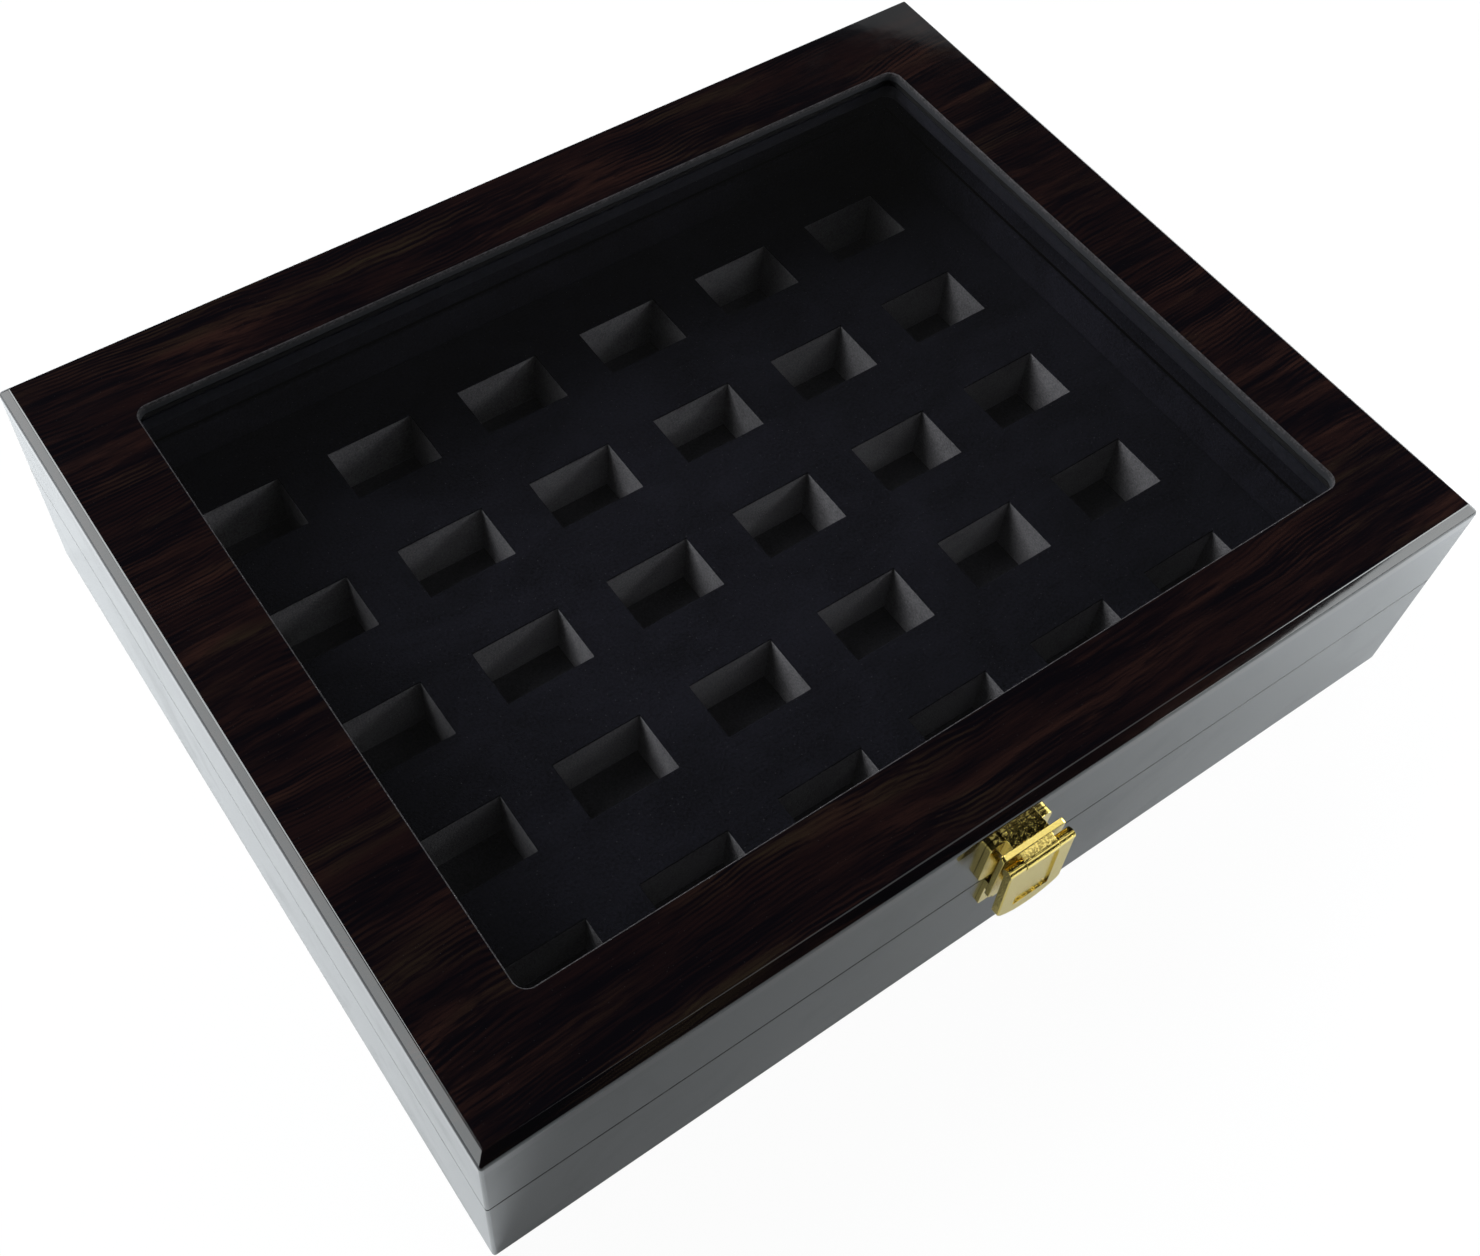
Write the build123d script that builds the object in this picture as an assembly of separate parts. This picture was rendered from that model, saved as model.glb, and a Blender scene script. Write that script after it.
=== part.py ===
from build123d import *
from math import radians, sin
import os

# Ring display case: a lacquered box whose lid has a glass window, hinged at the back
# and held by a small gilt flap latch at the front. Millimetres, +Z up, front towards -Y.
# The origin is the centre of the face that it stands on.

# Case
case_width = 356.0
case_depth = 282.0
base_height = 49.25
lid_height = 39.45
seam_gap = 0.3
wall = 12.0
corner_round = 1.0
crown_round = 0.6
seam_arris = 0.25
foot_arris = 0.5
bevel_inset = 2.9
bevel_drop = 3.0
sliding_fit = 0.3

# Bottom of the case
felt_thickness = 1.0
felt_inset = 2.5
bottom_thickness = 6.0
bottom_rebate = 6.0
pad_thickness = 4.0

# Lid top and its window
panel_thickness = 8.0
frame_width = 30.8
window_round = 4.0
window_arris = 0.6
glass_drop = 3.4
glass_thickness = 3.0
glass_rebate = 6.0
glass_clearance = 0.5
tape_width = 4.5
liner_frame_thickness = 5.5
liner_setback = 0.6
liner_arris = 0.6

# Velvet covered boards on the inside of the walls
liner_thickness = 2.0
liner_below_seam = 1.6
liner_above_seam = 0.8

# Slotted insert
slot_length = 31.8
slot_width = 21.6
slot_depth = 23.0
slot_columns = 6
slot_rows = 5
rim_sides = 21.55
rim_ends = 21.9
facing_thickness = 0.8

# Hinges
hinge_from_end = 83.0
leaf_length = 32.0
leaf_depth = 9.0
leaf_thickness = 1.2
leaf_corner = 1.5
barrel_radius = 2.5
barrel_standoff = 0.5
knuckle_count = 5
knuckle_gap = 0.2
hinge_pin_radius = 1.1
running_clearance = 0.05
stop_angle = 95.0
stop_lip_thickness = 1.2
stop_lip_height = 4.5
stop_tab_reach = 5.4
stop_clearance = 0.08

# Wood screws of the hinges and the latch keeper
screw_shank_radius = 1.1
screw_head_radius = 2.1
screw_head_depth = 1.0
screw_length = 9.0
screw_fit = 0.05
hinge_screw_from_centre = 10.5
keeper_screw_shank = 0.8
keeper_screw_head = 1.6
keeper_screw_length = 8.0

# Latch, set a little left of the middle; heights are above the seam,
# and distances out are from the front face of the case
latch_offset = -7.7
bracket_half_width = 11.2
bracket_top = 31.6
back_plate_drop = 1.6
back_plate_bottom = 9.0
back_plate_thickness = 2.2
plate_gap = 3.2
front_plate_bottom = 7.6
front_plate_thickness = 1.7
plate_round = 2.2
bridge_half_width = 6.5
bridge_height = 8.6
bridge_step = 0.4
notch_half_width = 5.2
notch_height = 10.0
stud_radius = 1.3
stud_length = 8.0
stud_from_centre = 8.0
stud_height = 21.6
knuckle_half_width = 5.9
knuckle_radius = 2.0
knuckle_standoff = 2.4
knuckle_drop = 3.4
latch_pin_radius = 0.8
lever_half_width = 11.7
lever_ear_radius = 1.75
lever_thickness = 2.6
lever_lean = 3.0
lever_reach = 22.9
lever_bottom_bow = 3.9
lever_bottom_round = 2.6
lever_side_gap = 0.2
lever_notch_clearance = 0.45
lever_edge = 0.35
recess_depth = 0.6
recess_rise = 1.7
hook_height = 2.5
hook_from_seam = 7.6
catch_clearance = 0.4
keeper_half_width = 4.2
keeper_thickness = 1.4
keeper_drop = 15.4
keeper_below_seam = 0.8
tongue_clearance = 1.0
tongue_height = 13.1
lip_height = 2.0

# Levels and faces that follow from the sizes above
case_height = base_height + seam_gap + lid_height
front = -case_depth / 2
back = case_depth / 2
seam = base_height + seam_gap / 2
lid_bottom = base_height + seam_gap
panel_bottom = case_height - panel_thickness
inner_width = case_width - 2 * wall
inner_depth = case_depth - 2 * wall
bottom_top = felt_thickness + bottom_thickness
window_width = case_width - 2 * frame_width
window_depth = case_depth - 2 * frame_width
hinge_y = back + barrel_standoff + barrel_radius


def block(x, y, z):
    """A box between two limits along each axis."""
    sizes = [high - low for low, high in (x, y, z)]
    middle = [(low + high) / 2 for low, high in (x, y, z)]
    return Pos(*middle) * Box(*sizes)


def slab(width, depth, low, high, radius=0.0):
    """A plate centred on the origin between two levels, with its upright edges rounded."""
    outline = RectangleRounded(width, depth, radius) if radius else Rectangle(width, depth)
    return Pos(0, 0, low) * extrude(outline, high - low)


def round_bar(radius, start, end, axis="X"):
    """A solid rod from one point to another along X, Y or Z."""
    length = abs(sum(b - a for a, b in zip(start, end)))
    middle = [(a + b) / 2 for a, b in zip(start, end)]
    turn = {"X": Rot(0, 90, 0), "Y": Rot(90, 0, 0), "Z": Rot(0, 0, 0)}[axis]
    return Pos(*middle) * turn * Cylinder(radius, length)


def rim_edges(solid, level, width, depth):
    """The edges of a solid at one level that lie within a centred rectangle."""
    return [edge for edge in solid.edges()
            if abs(edge.center().Z - level) < 0.01
            and abs(edge.center().X) < width / 2 + 0.01
            and abs(edge.center().Y) < depth / 2 + 0.01]


def ease_outside(ring, level, size):
    """Chamfer the outer edge of a wall ring at one level."""
    outside = [edge for edge in ring.edges()
               if abs(edge.center().Z - level) < 0.01
               and (abs(edge.center().X) > inner_width / 2 + wall / 2
                    or abs(edge.center().Y) > inner_depth / 2 + wall / 2)]
    return chamfer(outside, size)


# Case walls: a ring cut along its mitres into four pieces
def mitred_walls(ring, low, high):
    spare = 5.0
    half_x = case_width / 2
    half_y = case_depth / 2
    walls = {}
    for name, turn, along, across in (("front", 0, half_x, half_y), ("right", 90, half_y, half_x),
                                      ("back", 180, half_x, half_y), ("left", 270, half_y, half_x)):
        outline = Polygon((-along - spare, -across - spare), (along + spare, -across - spare),
                          (along - wall, -across + wall), (-along + wall, -across + wall), align=None)
        wedge = Pos(0, 0, low) * extrude(outline, high - low)
        walls[name] = ring & Rot(0, 0, turn) * wedge
    return walls


def screw(position, outward, length, shank, head, head_depth):
    """A countersunk wood screw whose head is flush at the position given."""
    tip = min(2.0, length / 3)
    profile = Polygon((0, 0), (head, 0), (shank, -head_depth), (shank, -length + tip), (0, -length),
                      align=None)
    body = revolve(Plane.XZ * profile, Axis.Z)
    return Plane(origin=position, z_dir=outward) * body


def screw_hole(position, outward, length, shank, head, head_depth):
    """The countersunk hole that the same screw fills."""
    return screw(position, outward, length + screw_fit, shank + screw_fit, head + screw_fit, head_depth)


# Lid top: bevelled and rounded outside, with the window and the rebate for the glass
def make_lid_panel():
    shoulder = case_height - bevel_drop
    outline = RectangleRounded(case_width, case_depth, corner_round)
    crown = RectangleRounded(case_width - 2 * bevel_inset, case_depth - 2 * bevel_inset, crown_round)
    panel = slab(case_width, case_depth, panel_bottom, shoulder, corner_round)
    bevel = [Pos(0, 0, shoulder) * outline.face(), Pos(0, 0, case_height) * crown.face()]
    panel += loft(bevel, ruled=True)
    panel -= slab(window_width, window_depth, panel_bottom, case_height, window_round)
    panel = fillet(rim_edges(panel, case_height, window_width, window_depth), window_arris)
    rebate = slab(window_width + 2 * glass_rebate, window_depth + 2 * glass_rebate,
                  panel_bottom, case_height - glass_drop, window_round)
    return panel - rebate


def make_glass():
    spare = glass_rebate - glass_clearance
    top = case_height - glass_drop
    low = top - glass_thickness
    return slab(window_width + 2 * spare, window_depth + 2 * spare, low, top, window_round)


def make_glazing_tape():
    spare = glass_rebate - glass_clearance
    top = case_height - glass_drop - glass_thickness
    outer = slab(window_width + 2 * spare, window_depth + 2 * spare, panel_bottom, top, window_round)
    inset = spare - tape_width
    return outer - slab(window_width + 2 * inset, window_depth + 2 * inset, panel_bottom, top)


def make_lid_liner_frame():
    low = panel_bottom - liner_frame_thickness
    board = slab(inner_width - 2 * sliding_fit, inner_depth - 2 * sliding_fit, low, panel_bottom)
    width = window_width + 2 * liner_setback
    depth = window_depth + 2 * liner_setback
    frame = board - slab(width, depth, low, panel_bottom, window_round)
    return chamfer(rim_edges(frame, low, width, depth), liner_arris)


def make_liners(low, high):
    """Four upright boards that line the walls between two levels."""
    x = inner_width / 2
    y = inner_depth / 2
    t = liner_thickness
    short = y - t
    return {
        "front": block((-x, x), (-y, -y + t), (low, high)),
        "back": block((-x, x), (y - t, y), (low, high)),
        "left": block((-x, -x + t), (-short, short), (low, high)),
        "right": block((x - t, x), (-short, short), (low, high)),
    }


# Slotted insert: rows of foam side by side, under one velvet facing
insert_width = inner_width - 2 * liner_thickness - 2 * sliding_fit
insert_depth = inner_depth - 2 * liner_thickness - 2 * sliding_fit
slot_floor = bottom_top + pad_thickness
insert_top = slot_floor + slot_depth
foam_top = insert_top - facing_thickness
slot_pitch_x = (insert_width - 2 * rim_sides - slot_length) / (slot_columns - 1)
slot_pitch_y = (insert_depth - 2 * rim_ends - slot_width) / (slot_rows - 1)
column_centres = [(i - (slot_columns - 1) / 2) * slot_pitch_x for i in range(slot_columns)]
row_centres = [(j - (slot_rows - 1) / 2) * slot_pitch_y for j in range(slot_rows)]


def slot_cutter(x, y, low, high):
    half_x = slot_length / 2
    half_y = slot_width / 2
    return block((x - half_x, x + half_x), (y - half_y, y + half_y), (low, high))


def make_foam_row(index):
    y = row_centres[index]
    near = -insert_depth / 2 if index == 0 else y - slot_pitch_y / 2
    far = insert_depth / 2 if index == slot_rows - 1 else y + slot_pitch_y / 2
    strip = block((-insert_width / 2, insert_width / 2), (near, far), (slot_floor, foam_top))
    for x in column_centres:
        strip -= slot_cutter(x, y, slot_floor, foam_top)
    return strip


def make_facing():
    sheet = slab(insert_width, insert_depth, foam_top, insert_top)
    for y in row_centres:
        for x in column_centres:
            sheet -= slot_cutter(x, y, foam_top, insert_top)
    return sheet


# Stop hinges: two leaves let into the edges of the back walls, with the barrel outside
def knuckle_spans(owner):
    """X limits, about the hinge's middle, of the knuckles of one leaf (0 base, 1 lid)."""
    pitch = leaf_length / knuckle_count
    spans = []
    for i in range(owner, knuckle_count, 2):
        low = -leaf_length / 2 + i * pitch
        high = low + pitch
        if i > 0:
            low += knuckle_gap / 2
        if i < knuckle_count - 1:
            high -= knuckle_gap / 2
        spans.append((low, high))
    return spans


def leaf_plate(low, high):
    outline = Pos(0, back - leaf_depth / 2) * Rectangle(leaf_length, leaf_depth)
    inner_corners = outline.vertices().group_by(Axis.Y)[0]
    outline = fillet(inner_corners, leaf_corner)
    return Pos(0, 0, low) * extrude(outline, high - low)


def leaf_with_knuckles(low, high, owner, pin_clearance):
    leaf = leaf_plate(low, high)
    for x0, x1 in knuckle_spans(owner):
        leaf += block((x0, x1), (back - 1.0, hinge_y), (low, high))
        leaf += round_bar(barrel_radius, (x0, hinge_y, seam), (x1, hinge_y, seam))
    reach = leaf_length / 2 + 1.0
    leaf -= round_bar(hinge_pin_radius + pin_clearance, (-reach, hinge_y, seam), (reach, hinge_y, seam))
    return leaf


def make_base_leaf():
    leaf = leaf_with_knuckles(base_height - leaf_thickness, base_height, 0, 0.0)
    lip_top = seam - barrel_radius - 0.3
    lip = block((-leaf_length / 2, leaf_length / 2), (back, back + stop_lip_thickness),
                (lip_top - stop_lip_height, lip_top))
    for x0, x1 in knuckle_spans(0):
        lip += block((x0, x1), (back, back + stop_lip_thickness),
                     (lip_top, base_height - leaf_thickness / 2))
    pin_space = round_bar(hinge_pin_radius, (-leaf_length, hinge_y, seam),
                          (leaf_length, hinge_y, seam))
    return leaf + (lip - pin_space)


def make_lid_leaf():
    leaf = leaf_with_knuckles(lid_bottom, lid_bottom + leaf_thickness, 1, running_clearance)
    stop_plane = back + stop_lip_thickness + stop_clearance
    tab_thickness = hinge_y - stop_plane + 0.6
    for x0, x1 in knuckle_spans(1):
        tab = block((x0, x1), (stop_plane, stop_plane + tab_thickness),
                    (seam - stop_tab_reach, seam - barrel_radius + 0.6))
        leaf += tab.rotate(Axis((0, hinge_y, seam), (1, 0, 0)), stop_angle)
    return leaf


def make_hinge_pin():
    reach = leaf_length / 2
    return round_bar(hinge_pin_radius, (-reach, hinge_y, seam), (reach, hinge_y, seam))


def hinge_screw_places(level):
    y = back - leaf_depth / 2
    return [(side * hinge_screw_from_centre, y, level) for side in (-1, 1)]


# Latch bracket: two plates under one roof, with the knuckle that carries the lever
front_plate_in = back_plate_thickness + plate_gap
front_plate_out = front_plate_in + front_plate_thickness
knuckle_out = front_plate_out + knuckle_standoff
knuckle_z = seam + bracket_top - knuckle_drop
knuckle_y = front - knuckle_out


def upright_plate(half_width, low, high, near, far, radius):
    """A plate parallel to the front, between two distances out from it."""
    outline = Pos(0, (low + high) / 2) * RectangleRounded(2 * half_width, high - low, radius)
    plate = extrude(Plane.XZ * outline, far - near)
    return Pos(0, front - near, 0) * plate


def make_latch_bracket():
    top = seam + bracket_top
    bracket = upright_plate(bracket_half_width, seam + back_plate_bottom, top - back_plate_drop,
                            0, back_plate_thickness, plate_round)
    face = upright_plate(bracket_half_width, seam + front_plate_bottom, top,
                         front_plate_in, front_plate_out, plate_round / 2)
    notch = block((-notch_half_width, notch_half_width), (front - front_plate_out, front - front_plate_in),
                  (seam + front_plate_bottom, seam + front_plate_bottom + notch_height))
    bracket += face - notch
    bracket += block((-bridge_half_width, bridge_half_width), (front - front_plate_in, front),
                     (top - bridge_height, top - bridge_step))
    root = front - front_plate_out + front_plate_thickness / 2
    shoulder = Polygon((root, knuckle_z), (root, top - bridge_step),
                       (front - front_plate_out, top - bridge_step),
                       (knuckle_y, knuckle_z + knuckle_radius), (knuckle_y, knuckle_z), align=None)
    bracket += extrude(Plane.YZ * shoulder, knuckle_half_width, both=True)
    bracket += round_bar(knuckle_radius, (-knuckle_half_width, knuckle_y, knuckle_z),
                         (knuckle_half_width, knuckle_y, knuckle_z))
    bracket -= latch_pin(0.0)
    for side in (-1, 1):
        x = side * stud_from_centre
        z = seam + stud_height
        bracket += round_bar(stud_radius, (x, front - 0.5, z), (x, front + stud_length, z), "Y")
    return bracket


def latch_pin(clearance):
    reach = lever_half_width
    return round_bar(latch_pin_radius + clearance, (-reach, knuckle_y, knuckle_z),
                     (reach, knuckle_y, knuckle_z))


def make_latch_lever():
    """The flap: ears round the pin, a plate that leans out to a bowed foot, a sunk panel and a hook."""
    w = lever_half_width
    low = knuckle_z - lever_reach
    near = knuckle_out + lever_ear_radius - lever_thickness
    far = knuckle_out + lever_ear_radius
    sides = Polyline((-w, low), (-w, knuckle_z), (w, knuckle_z), (w, low))
    foot = ThreePointArc((w, low), (0, low - lever_bottom_bow), (-w, low))
    outline = make_face([*sides.edges(), foot])
    outline = fillet(outline.vertices().group_by(Axis.Y)[0], lever_bottom_round)
    lever = Pos(0, front - near, 0) * extrude(Plane.XZ * outline, far - near)
    front_face = lever.faces().sort_by(Axis.Y)[0]
    front_rim = [edge for edge in front_face.edges() if edge.center().Z < knuckle_z - 0.1]
    lever = chamfer(front_rim, lever_edge)
    lever += round_bar(lever_ear_radius, (-w, knuckle_y, knuckle_z), (w, knuckle_y, knuckle_z))
    gap = knuckle_half_width + lever_side_gap
    cut_low = knuckle_z - knuckle_radius - lever_notch_clearance
    lever -= block((-gap, gap), (front - far - 1, front - near + 3), (cut_low, knuckle_z + 3))
    half = bridge_half_width
    lever -= block((-half, half), (front - far, front - far + recess_depth), (low + recess_rise, cut_low))
    lever = lever.rotate(Axis((0, knuckle_y, knuckle_z), (-1, 0, 0)), lever_lean)
    hook_tip = front_plate_out - catch_clearance + 0.3
    hook_low = seam + hook_from_seam
    hook_root = near + (knuckle_z - hook_low) * sin(radians(lever_lean)) + 0.2
    lever += block((-keeper_half_width, keeper_half_width), (front - hook_root, front - hook_tip),
                   (hook_low, hook_low + hook_height))
    return lever - latch_pin(running_clearance)


def make_latch_keeper():
    """The catch on the base: a screwed plate, a step and a tongue that rises behind the flap."""
    w = keeper_half_width
    top = base_height - keeper_below_seam
    near = back_plate_thickness + tongue_clearance
    far = near + keeper_thickness
    lip_out = front_plate_out - 2 * catch_clearance + 0.3
    keeper = upright_plate(w, top - keeper_drop, top, 0, keeper_thickness, 1.2)
    keeper += block((-w, w), (front - far, front), (top - 4.0, top))
    keeper += block((-w, w), (front - far, front - near), (top - 4.0, seam + tongue_height))
    keeper += block((-w, w), (front - lip_out, front - near),
                    (seam + tongue_height - lip_height, seam + tongue_height))
    for place in keeper_screw_places():
        keeper -= screw_hole(place, (0, -1, 0), keeper_screw_length, keeper_screw_shank,
                             keeper_screw_head, keeper_thickness / 2)
    return keeper


def keeper_screw_places():
    low = base_height - keeper_below_seam - keeper_drop
    return [(0, front - keeper_thickness, low + rise) for rise in (2.6, 7.6)]


# All pieces, by node name
parts = {}

parts["lid_top_panel"] = make_lid_panel()
parts["glass_pane"] = make_glass()
parts["glazing_tape"] = make_glazing_tape()
parts["lid_liner_frame"] = make_lid_liner_frame()
parts["base_bottom_panel"] = slab(inner_width + 2 * bottom_rebate, inner_depth + 2 * bottom_rebate,
                                  felt_thickness, bottom_top)
parts["felt_base_sheet"] = slab(case_width - 2 * felt_inset, case_depth - 2 * felt_inset, 0, felt_thickness)
parts["insert_floor_pad"] = slab(insert_width, insert_depth, bottom_top, slot_floor)
for index in range(slot_rows):
    parts[f"foam_row_{index + 1}"] = make_foam_row(index)
parts["insert_facing"] = make_facing()

lid_ring = slab(case_width, case_depth, lid_bottom, panel_bottom, corner_round)
lid_ring -= slab(inner_width, inner_depth, lid_bottom, panel_bottom)
lid_ring = ease_outside(lid_ring, lid_bottom, seam_arris)
base_ring = slab(case_width, case_depth, felt_thickness, base_height, corner_round)
base_ring -= slab(inner_width, inner_depth, felt_thickness, base_height)
base_ring -= slab(inner_width + 2 * bottom_rebate, inner_depth + 2 * bottom_rebate,
                  felt_thickness, bottom_top)
base_ring = ease_outside(base_ring, base_height, seam_arris)
base_ring = ease_outside(base_ring, felt_thickness, foot_arris)
lid_walls = mitred_walls(lid_ring, lid_bottom, panel_bottom)
base_walls = mitred_walls(base_ring, felt_thickness, base_height)

hinge_x = case_width / 2 - hinge_from_end
base_screws = []
lid_screws = []
hinge_screw = (screw_shank_radius, screw_head_radius, screw_head_depth)
for name, x in (("left", -hinge_x), ("right", hinge_x)):
    shift = Pos(x, 0, 0)
    base_leaf = make_base_leaf()
    lid_leaf = make_lid_leaf()
    base_walls["back"] -= shift * leaf_plate(base_height - leaf_thickness, base_height)
    lid_walls["back"] -= shift * leaf_plate(lid_bottom, lid_bottom + leaf_thickness)
    for place in hinge_screw_places(base_height):
        args = (place, (0, 0, 1), screw_length)
        base_leaf -= screw_hole(*args, *hinge_screw)
        base_walls["back"] -= shift * screw_hole(*args, *hinge_screw)
        base_screws.append(shift * screw(*args, *hinge_screw))
    for place in hinge_screw_places(lid_bottom):
        args = (place, (0, 0, -1), screw_length)
        lid_leaf -= screw_hole(*args, *hinge_screw)
        lid_walls["back"] -= shift * screw_hole(*args, *hinge_screw)
        lid_screws.append(shift * screw(*args, *hinge_screw))
    parts[f"hinge_{name}_base_leaf"] = shift * base_leaf
    parts[f"hinge_{name}_lid_leaf"] = shift * lid_leaf
    parts[f"hinge_{name}_pin"] = shift * make_hinge_pin()
parts["hinge_base_screws"] = Compound(base_screws)
parts["hinge_lid_screws"] = Compound(lid_screws)

latch_place = Pos(latch_offset, 0, 0)
keeper_screws = []
for side in (-1, 1):
    x = latch_offset + side * stud_from_centre
    z = seam + stud_height
    lid_walls["front"] -= round_bar(stud_radius + screw_fit, (x, front, z),
                                    (x, front + stud_length + 0.2, z), "Y")
for place in keeper_screw_places():
    args = (place, (0, -1, 0), keeper_screw_length, keeper_screw_shank, keeper_screw_head,
            keeper_thickness / 2)
    base_walls["front"] -= latch_place * screw_hole(*args)
    keeper_screws.append(latch_place * screw(*args))
parts["latch_bracket"] = latch_place * make_latch_bracket()
parts["latch_pin"] = latch_place * latch_pin(0.0)
parts["latch_lever"] = latch_place * make_latch_lever()
parts["latch_keeper"] = latch_place * make_latch_keeper()
parts["latch_keeper_screws"] = Compound(keeper_screws)

for side, piece in lid_walls.items():
    parts[f"lid_{side}_wall"] = piece
for side, piece in base_walls.items():
    parts[f"base_{side}_wall"] = piece
for side, piece in make_liners(bottom_top, base_height - liner_below_seam).items():
    parts[f"base_{side}_liner"] = piece
for side, piece in make_liners(lid_bottom + liner_above_seam, panel_bottom - liner_frame_thickness).items():
    parts[f"lid_{side}_liner"] = piece

os.makedirs("parts", exist_ok=True)
for name, piece in parts.items():
    export_step(piece, f"parts/{name}.step")
print(len(parts), "nodes,", slot_columns, "by", slot_rows, "slots, case height", round(case_height, 2))
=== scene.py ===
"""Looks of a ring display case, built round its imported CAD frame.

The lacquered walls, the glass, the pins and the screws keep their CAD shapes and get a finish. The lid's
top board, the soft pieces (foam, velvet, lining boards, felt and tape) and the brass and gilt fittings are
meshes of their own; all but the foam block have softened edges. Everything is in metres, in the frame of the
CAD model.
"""
import logging
import math
from collections.abc import Callable, Sequence
from dataclasses import dataclass, field
from enum import Enum

import bmesh
import bpy
from mathutils import Euler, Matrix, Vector, noise


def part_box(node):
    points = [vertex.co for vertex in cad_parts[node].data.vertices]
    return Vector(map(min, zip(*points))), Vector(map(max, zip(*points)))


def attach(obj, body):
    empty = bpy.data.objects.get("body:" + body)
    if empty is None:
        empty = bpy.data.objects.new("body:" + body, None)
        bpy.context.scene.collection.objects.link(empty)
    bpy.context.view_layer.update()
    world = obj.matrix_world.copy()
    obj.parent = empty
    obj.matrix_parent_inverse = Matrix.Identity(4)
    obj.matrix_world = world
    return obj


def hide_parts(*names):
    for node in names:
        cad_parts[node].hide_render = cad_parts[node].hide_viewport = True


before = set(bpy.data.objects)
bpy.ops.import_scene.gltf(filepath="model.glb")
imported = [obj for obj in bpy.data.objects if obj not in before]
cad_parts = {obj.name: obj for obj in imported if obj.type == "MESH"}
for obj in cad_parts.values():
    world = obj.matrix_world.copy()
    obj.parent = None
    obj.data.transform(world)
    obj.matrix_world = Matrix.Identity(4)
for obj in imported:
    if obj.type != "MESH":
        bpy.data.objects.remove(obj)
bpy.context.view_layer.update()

LOG = logging.getLogger("ring_case")
MM = 0.001

Point = tuple[float, float, float]
Colour = tuple[float, float, float]
Pair = tuple[float, float]
Piece = bpy.types.Object
Form = bmesh.types.BMesh
Socket = bpy.types.NodeSocket
Value = Socket | float | Colour


# Wiring of materials


class Web:
    """A node tree while it is wired: adds nodes, sets their sockets and links them."""

    def __init__(self, tree: bpy.types.NodeTree) -> None:
        """Takes the tree to wire."""
        self.tree = tree

    def node(self, kind: str, values: dict | None = None, **settings: object) -> bpy.types.Node:
        """Adds one node.

        Args:
            kind: Blender's name of the node type.
            values: socket name or number, to a constant or to the socket that feeds it.
            settings: attributes of the node itself.

        Returns:
            The new node.
        """
        made = self.tree.nodes.new(kind)
        for name, value in settings.items():
            setattr(made, name, value)
        for name, value in (values or {}).items():
            self.feed(made.inputs[name], value)
        return made

    def feed(self, socket: Socket, value: Value) -> None:
        """Links or sets one socket.

        Args:
            socket: the socket to feed.
            value: the socket that feeds it, or its constant; a colour of three numbers gets its alpha.
        """
        if isinstance(value, bpy.types.NodeSocket):
            self.tree.links.new(value, socket)
        elif socket.type == "RGBA" and len(value) == 3:
            socket.default_value = (*value, 1.0)
        else:
            socket.default_value = value

    def maths(self, operation: str, *values: Value, clamp: bool = False) -> Socket:
        """Returns the result of a Math node, held between 0 and 1 where it is clamped."""
        made = self.node("ShaderNodeMath", dict(enumerate(values)), operation=operation, use_clamp=clamp)
        return made.outputs[0]

    def times(self, first: Value, second: Value) -> Socket:
        """Returns the product of two numbers."""
        return self.maths("MULTIPLY", first, second)

    def plus(self, first: Value, second: Value) -> Socket:
        """Returns the sum of two numbers."""
        return self.maths("ADD", first, second)

    def blend(self, share: Value, first: Value, second: Value) -> Socket:
        """Returns a colour between two, by a share from 0 to 1."""
        made = self.node("ShaderNodeMix", {0: share, 6: first, 7: second}, data_type="RGBA")
        return made.outputs[2]

    def between(self, share: Value, first: Value, second: Value) -> Socket:
        """Returns a number between two, by a share from 0 to 1."""
        made = self.node("ShaderNodeMix", {0: share, 2: first, 3: second}, data_type="FLOAT")
        return made.outputs[0]

    def mixed(self, share: Socket, first: bpy.types.Node, second: bpy.types.Node) -> bpy.types.Node:
        """Returns a shader between two, by a share from 0 to 1."""
        return self.node("ShaderNodeMixShader", {0: share, 1: first.outputs[0], 2: second.outputs[0]})

    def remap(self, value: Socket, low: float, high: float) -> Socket:
        """Returns a value moved from a range, which may run downwards, to 0 and 1 and held between them."""
        return self.node("ShaderNodeMapRange", {0: value, 1: low, 2: high, 3: 0.0, 4: 1.0}).outputs[0]

    def parts(self, vector: Socket) -> Sequence[Socket]:
        """Returns the X, Y and Z of a vector."""
        return self.node("ShaderNodeSeparateXYZ", {0: vector}).outputs

    def stretch(self, vector: Socket, scale: Point) -> Socket:
        """Returns a vector scaled along each axis."""
        return self.node("ShaderNodeVectorMath", {0: vector, 1: scale}, operation="MULTIPLY").outputs[0]

    def cloud(self, vector: Socket, scale: Value = 1.0, detail: float = 3.0, rough: float = 0.5,
              warp: float = 0.0) -> Socket:
        """Makes soft noise.

        Args:
            vector: where it is read.
            scale: waves per metre.
            detail: how many finer waves are added.
            rough: strength of the finer waves.
            warp: how much the waves are distorted.

        Returns:
            The noise, a number around 0.5.
        """
        made = self.node("ShaderNodeTexNoise", {"Vector": vector, "Scale": scale, "Detail": detail,
                                                "Roughness": rough, "Distortion": warp})
        return made.outputs[0]

    def streaks(self, vector: Socket, waves: Pair, detail: float, rough: float = 0.5) -> Socket:
        """Returns noise with its own number of waves per metre along X and across."""
        return self.cloud(self.stretch(vector, (waves[0], waves[1], waves[1])), 1.0, detail, rough)

    def cells(self, vector: Socket, scale: float) -> Socket:
        """Returns the distance to the nearest point of a cell pattern."""
        return self.node("ShaderNodeTexVoronoi", {"Vector": vector, "Scale": scale}, feature="F1").outputs[0]

    def bump(self, height: Socket, depth: float) -> Socket:
        """Returns a normal bumped by a height, whose full range is a depth."""
        return self.node("ShaderNodeBump", {"Height": height, "Distance": depth, "Strength": 1.0}).outputs[0]


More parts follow.
